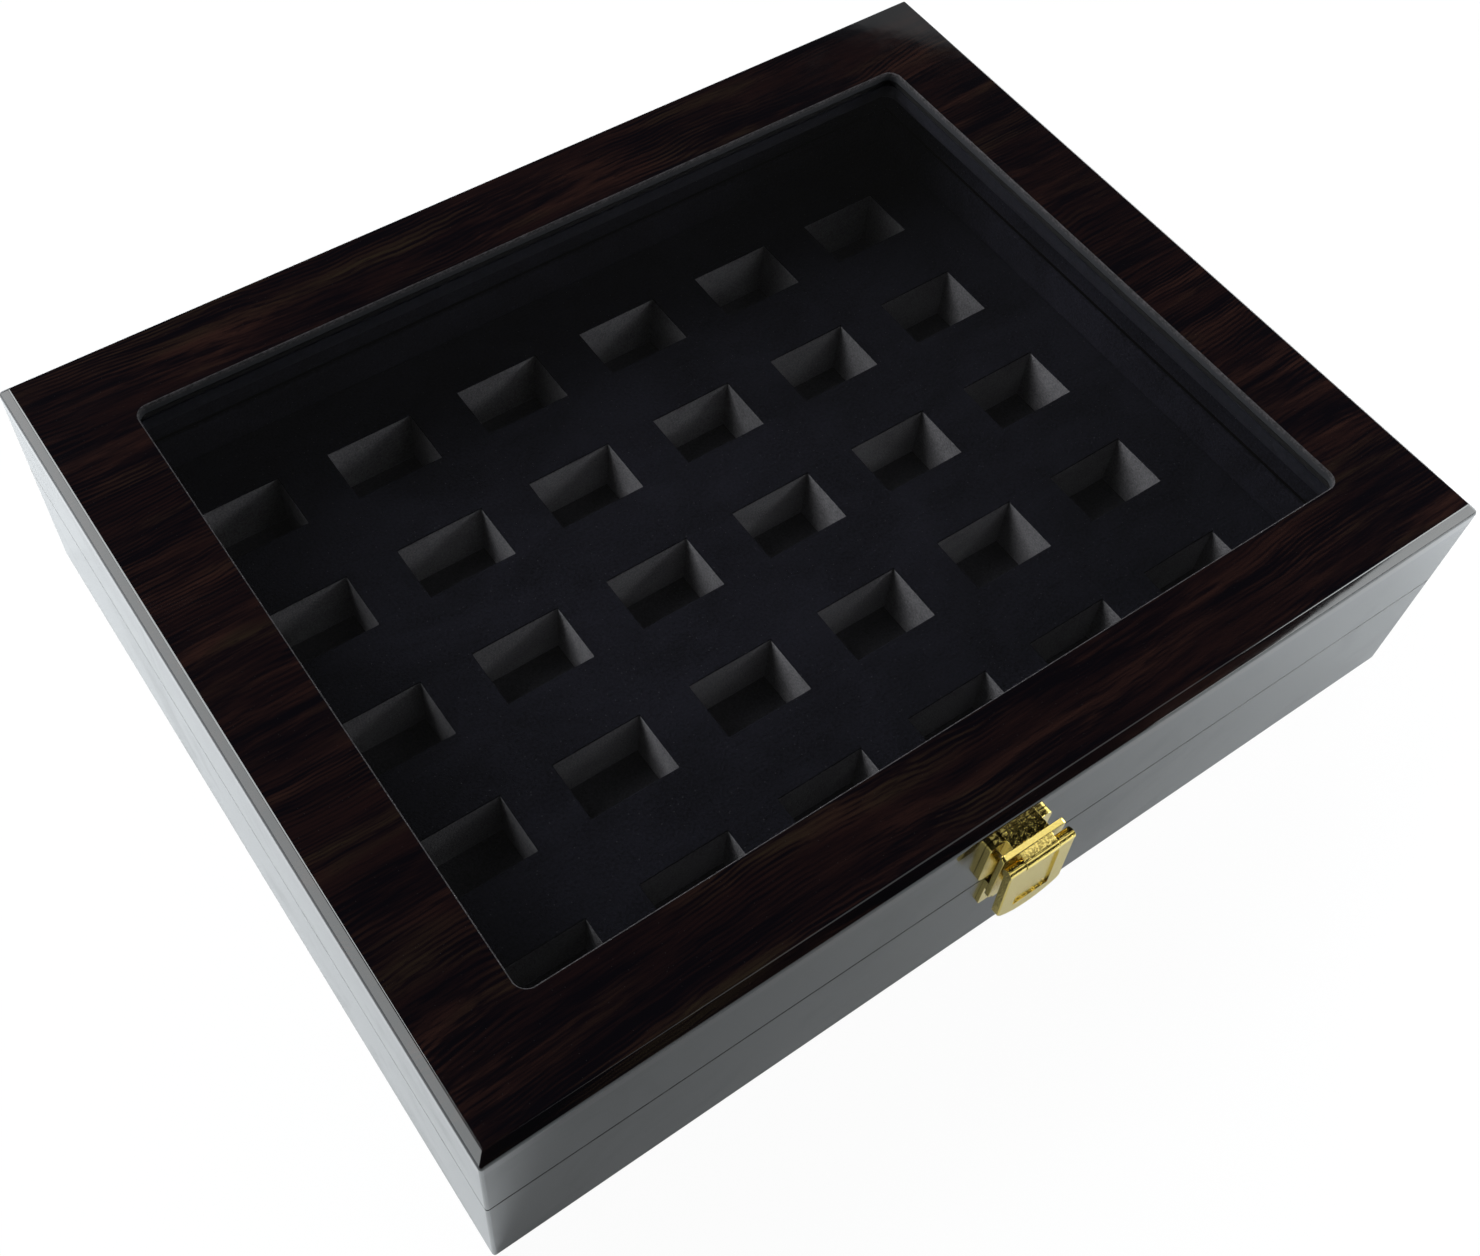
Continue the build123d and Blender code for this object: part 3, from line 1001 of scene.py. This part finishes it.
@dataclass
class LacqueredCase:
    """The boards of the lid and the base.

    Attributes:
        window_half: half width and half depth of the window, out to its arris.
        outer_half: what lies further out than this is the lid's outer edge.
        joint_level: top of the walls, where the lid's top board sits on them.
        top_level: edges above this lie at the top of the bevel.
        sharp_turn: edges turned by less than this, in degrees, aren't edges to the eye.
        roll: width of the rounding along the bevel's lower edge and its corners.
        top_share: how much of it the bevel's upper edge gets.
        long_gloss: roughness of the lacquer on the front and back walls.
        short_gloss: roughness of the lacquer on the left and right walls.
    """

    window_half: Pair = (147.9 * MM, 110.9 * MM)
    outer_half: Pair = (160.0 * MM, 125.0 * MM)
    joint_level: float = 81.5 * MM
    top_level: float = 87.0 * MM
    sharp_turn: float = 20.0
    roll: float = 0.9 * MM
    top_share: float = 0.4
    long_gloss: float = 0.20
    short_gloss: float = 0.14

    def rounded_panel(self) -> Piece:
        """Makes the lid's top board with rolled edges; its joint with the walls and the window stay sharp.

        Returns:
            The new piece.
        """
        form = cleaned_form("lid_top_panel")
        weight = form.edges.layers.float.new("bevel_weight_edge")
        half_x, half_y = self.outer_half
        for edge in form.edges:
            if edge.calc_face_angle(0.0) < math.radians(self.sharp_turn):
                continue
            level = min(corner.co.z for corner in edge.verts)
            outer = any(abs(corner.co.x) > half_x or abs(corner.co.y) > half_y for corner in edge.verts)
            if outer and level > self.joint_level:
                edge[weight] = 1.0 if level < self.top_level else self.top_share
            else:
                edge.smooth = False
        panel = link_piece("rounded_lid_panel", form, smooth=True)
        soften(panel, self.roll, 4, by_weight=True)
        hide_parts("lid_top_panel")
        return panel

    def build(self) -> None:
        """Makes the lid's top board, and dresses the walls, the bottom and the frame under the glass."""
        lid = Veneer("lid_veneer", LID_TONES, window=self.window_half)
        place(self.rounded_panel(), "lid", "lacquered_veneer", lid.material())
        # The walls take the darker copy of the veneer's tones, as painted shade.
        long_sides = Veneer("long_side_veneer", SHADED_WALL_TONES, GrainRun.ALONG_X, self.long_gloss).material()
        short_sides = Veneer("short_side_veneer", SHADED_WALL_TONES, GrainRun.ALONG_Y, self.short_gloss).material()
        for part in ("lid", "base"):
            for side in ("front", "back"):
                dress(f"{part}_{side}_wall", long_sides)
            for side in ("left", "right"):
                dress(f"{part}_{side}_wall", short_sides)
        dress("base_bottom_panel", STAINED_BOARD.material())
        dress("lid_liner_frame", FRAME_BOARD.material())


@dataclass
class Window:
    """The glass pane and the tape that it is bedded on.

    Attributes:
        tape_width: width of the tape.
        tape_edge: rounding of its edges.
    """

    tape_width: float = 4.5 * MM
    tape_edge: float = 0.2 * MM

    def build(self) -> None:
        """Makes the tape with soft edges and gives the pane its glass."""
        low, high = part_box("glazing_tape")
        tape = ring_strip("glazing_tape_strip", (high.x - self.tape_width, high.y - self.tape_width),
                          (high.x, high.y), (low.z, high.z), self.tape_edge)
        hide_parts("glazing_tape")
        place(tape, "lid", "glazing_tape", TAPE_FOAM.material())
        dress("glass_pane", ClearGlass().material())


@dataclass
class RingInsert:
    """The slotted insert: floor pad, foam and velvet facing.

    Attributes:
        slots: the grid of slots.
        hem: rounding of the velvet at the edge of a slot.
        hem_turn: the velvet's edges turned by more than this, in degrees, are rounded.
        pad_edge: rounding of the floor pad.
    """

    slots: Slots = field(default_factory=Slots)
    hem: float = 0.45 * MM
    hem_turn: float = 50.0
    pad_edge: float = 0.6 * MM

    def build(self) -> None:
        """Makes the three pieces, each in its finish."""
        foam_low, foam_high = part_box("foam_row_1")
        face_low, face_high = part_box("insert_facing")
        half = (face_high.x, face_high.y)
        foam = self.slots.block("foam_block", half, foam_low.z, foam_high.z)
        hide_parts(*[f"foam_row_{i + 1}" for i in range(self.slots.rows)])
        place(foam, "base", "charcoal_foam", CUT_FOAM.material())

        facing = self.slots.block("velvet_facing", half, face_low.z, face_high.z)
        soften(facing, self.hem, 3, self.hem_turn)
        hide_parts("insert_facing")
        place(facing, "base", "black_velvet", INSERT_VELVET.material())

        pad = rounded_board("floor_pad", *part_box("insert_floor_pad"), self.pad_edge)
        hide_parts("insert_floor_pad")
        place(pad, "base", "charcoal_foam", FLOOR_FELT.material())


@dataclass
class Lining:
    """Velvet-covered boards inside the walls, and the felt under the case.

    Attributes:
        roll: rounding of a board's edges under its velvet.
        felt_edge: rounding of the felt's cut edges.
    """

    roll: float = 0.7 * MM
    felt_edge: float = 0.35 * MM

    def build(self) -> None:
        """Makes each board and the felt sheet."""
        # The boards take the lighter copy of the velvet, as painted light.
        covered = BRIGHTENED_LINING_VELVET.material()
        for part in ("lid", "base"):
            for side in ("front", "back", "left", "right"):
                node = f"{part}_{side}_liner"
                board = rounded_board(f"{part}_{side}_velvet_board", *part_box(node), self.roll)
                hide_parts(node)
                place(board, part, "black_velvet", covered)
        low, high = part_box("felt_base_sheet")
        felt = rounded_board("felt_sheet", low, high, self.felt_edge)
        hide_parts("felt_base_sheet")
        place(felt, "base", "base_felt", PRESSED_FELT.material())


@dataclass
class StopHinges:
    """The two brass hinges at the back and their screws.

    Attributes:
        edge: rounding of the leaves' edges.
    """

    edge: float = 0.18 * MM

    def build(self) -> None:
        """Makes the leaves with rounded edges and dresses the pins and screws."""
        brass = WARM_BRASS.material()
        for side in ("left", "right"):
            for body in ("base", "lid"):
                leaf = softened_copy(f"hinge_{side}_{body}_leaf", f"{side}_{body}_hinge_leaf", self.edge)
                place(leaf, body, "hinge_brass", brass)
        for node in ("hinge_left_pin", "hinge_right_pin", "hinge_base_screws", "hinge_lid_screws"):
            dress(node, brass)


@dataclass
class FlapLatch:
    """The gilt latch: bracket, pin, flap and the keeper behind it.

    Attributes:
        edge: rounding of the edges.
        brow_fall: how far the front plate's top edge is worn down.
        brow_height: height of the stretch of the front plate that slopes towards it.
        fuzz: points this near to the top or the front of the bracket lie in it.
    """

    edge: float = 0.34 * MM
    brow_fall: float = 0.62 * MM
    brow_height: float = 1.3 * MM
    fuzz: float = 0.1 * MM

    def bracket(self) -> Piece:
        """Makes the bracket with its front plate's top edge worn to a slope.

        Returns:
            The new piece.
        """
        form = cleaned_form("latch_bracket")
        top = max(corner.co.z for corner in form.verts)
        front = min(corner.co.y for corner in form.verts if corner.co.z > top - self.fuzz)
        for corner in form.verts:
            risen = corner.co.z - (top - self.brow_height)
            if corner.co.y < front + self.fuzz and risen > 0.0:
                corner.co.z -= self.brow_fall * risen / self.brow_height
        piece = link_piece("gilt_bracket", form, smooth=True)
        soften(piece, self.edge)
        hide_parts("latch_bracket")
        return piece

    def build(self) -> None:
        """Makes the cast pieces with rounded edges and dresses the pin and screws."""
        gilt = GILT.material()
        place(self.bracket(), "lid", "gilt_metal", gilt)
        place(softened_copy("latch_lever", "gilt_flap", self.edge), "latch_flap", "gilt_metal", gilt)
        place(softened_copy("latch_keeper", "gilt_keeper", self.edge), "base", "gilt_metal", gilt)
        dress("latch_pin", gilt)
        dress("latch_keeper_screws", gilt)


# The room


@dataclass(frozen=True)
class Softbox:
    """A soft rectangular lamp aimed at a point.

    Attributes:
        name: name of the lamp.
        position: its centre.
        aim: the point that it faces.
        size: its two sides.
        watts: its power.
    """

    name: str
    position: Point
    aim: Point
    size: Pair
    watts: float

    def build(self) -> None:
        """Makes the lamp."""
        lamp = bpy.data.lights.new(self.name, "AREA")
        lamp.shape = "RECTANGLE"
        lamp.size, lamp.size_y = self.size
        lamp.energy = self.watts
        holder = bpy.data.objects.new(self.name, lamp)
        holder.location = self.position
        holder.rotation_euler = (Vector(self.aim) - Vector(self.position)).to_track_quat("-Z", "Y").to_euler()
        bpy.context.scene.collection.objects.link(holder)


LAMPS = (
    Softbox("key_softbox", (-0.70, 0.80, 1.00), (0.0, 0.0, 0.05), (1.0, 1.0), 31.0),
    Softbox("left_strip", (-1.10, 0.55, 0.17), (0.0, 0.55, 0.17), (1.4, 0.3), 5.3),
    Softbox("near_softbox", (0.40, -0.30, 0.24), (0.32, -0.22, 0.0), (0.22, 0.22), 1.5),
    Softbox("front_softbox", (0.50, -0.56, 1.10), (0.0, 0.0, 0.05), (0.8, 0.8), 1.9),
    Softbox("right_panel", (1.16, 0.42, 0.40), (0.0, 0.0, 0.05), (0.6, 0.6), 5.0),
    Softbox("right_strip", (1.00, -0.92, 0.18), (0.0, -0.92, 0.18), (1.60, 0.3), 7.4),
    Softbox("corner_haze", (1.10, 1.035, 0.80), (0.0, 0.0, 0.09), (0.5, 0.5), 0.4),
)


@dataclass
class Studio:
    """The pale floor, the lamps, the room's light and the camera.

    Attributes:
        floor_reach: half the size of the floor.
        floor_level: its height, a little below the felt.
        floor_colour: its colour.
        world_level: strength of the room's light on the object.
        seen_white: how white the floor and the room look, straight or through the glass.
        mirrored_white: how white the floor looks in the gloss.
        eye: place of the camera.
        turn: its rotation, in degrees.
        lens: its focal length, in millimetres.
        sensor: width of its sensor, in millimetres.
        shift: shift of the picture that the photograph's framing needs.
        nearest: the camera sees nothing nearer than this.
    """

    floor_reach: float = 6.0
    floor_level: float = -0.05 * MM
    floor_colour: Colour = (0.885, 0.93, 0.96)
    world_level: float = 0.03
    seen_white: float = 0.96
    mirrored_white: float = 0.05
    eye: Point = (-0.22095, -0.24932, 0.50655)
    turn: Point = (33.3518, -2.8953, -34.819)
    lens: float = 42.529
    sensor: float = 36.0
    shift: Pair = (0.03886, -0.02041)
    nearest: float = 10.0 * MM

    def build(self) -> None:
        """Makes the room."""
        self.build_floor()
        self.build_world()
        for lamp in LAMPS:
            lamp.build()
        self.build_camera()

    def build_floor(self) -> None:
        """Makes the plain pale floor, which is clear from below."""
        form = bmesh.new()
        bmesh.ops.create_grid(form, x_segments=1, y_segments=1, size=self.floor_reach)
        floor = link_piece("studio_floor", form)
        material, web, _ = new_material("pale_floor")
        lit = web.node("ShaderNodeBsdfDiffuse", {"Color": self.floor_colour})
        white = web.node("ShaderNodeEmission", {"Color": (1.0, 1.0, 1.0), "Strength": 1.0})
        path = web.node("ShaderNodeLightPath").outputs
        seen = web.times(web.maths("MAXIMUM", path["Is Camera Ray"], path["Is Transmission Ray"]),
                         self.seen_white)
        share = web.maths("MAXIMUM", seen, web.times(path["Is Glossy Ray"], self.mirrored_white))
        above = web.mixed(share, lit, white)
        below = web.node("ShaderNodeNewGeometry").outputs["Backfacing"]
        clear = web.node("ShaderNodeBsdfTransparent")
        finish_with(web, web.mixed(below, above, clear))
        floor.data.materials.append(material)
        floor.location.z = self.floor_level

    def build_world(self) -> None:
        """Makes the dim room light, which looks white to the camera, straight or through the glass."""
        world = bpy.data.worlds.new("room")
        world.use_nodes = True
        world.node_tree.nodes.clear()
        web = Web(world.node_tree)
        path = web.node("ShaderNodeLightPath").outputs
        bounced = web.plus(path["Diffuse Depth"], path["Glossy Depth"])
        straight = web.times(path["Is Transmission Ray"], web.maths("LESS_THAN", bounced, 0.5))
        seen = web.maths("MAXIMUM", path["Is Camera Ray"], straight)
        strength = web.between(seen, self.world_level, self.seen_white)
        back = web.node("ShaderNodeBackground", {"Color": (1.0, 1.0, 1.0), "Strength": strength})
        web.node("ShaderNodeOutputWorld", {"Surface": back.outputs[0]})
        bpy.context.scene.world = world

    def build_camera(self) -> None:
        """Makes the camera at the photograph's viewing angle."""
        lens = bpy.data.cameras.new("camera")
        lens.sensor_width = self.sensor
        lens.sensor_fit = "HORIZONTAL"
        lens.lens = self.lens
        lens.shift_x, lens.shift_y = self.shift
        lens.clip_start = self.nearest
        holder = bpy.data.objects.new("camera", lens)
        holder.location = self.eye
        holder.rotation_euler = Euler([math.radians(angle) for angle in self.turn], "XYZ")
        bpy.context.scene.collection.objects.link(holder)
        bpy.context.scene.camera = holder


def main() -> None:
    """Builds the object's sub-assemblies and the room."""
    logging.basicConfig(level=logging.INFO, format="%(message)s")
    LacqueredCase().build()
    Window().build()
    RingInsert().build()
    Lining().build()
    StopHinges().build()
    FlapLatch().build()
    Studio().build()
    bpy.context.scene.view_settings.view_transform = "Standard"


if __name__ == "__main__":
    main()
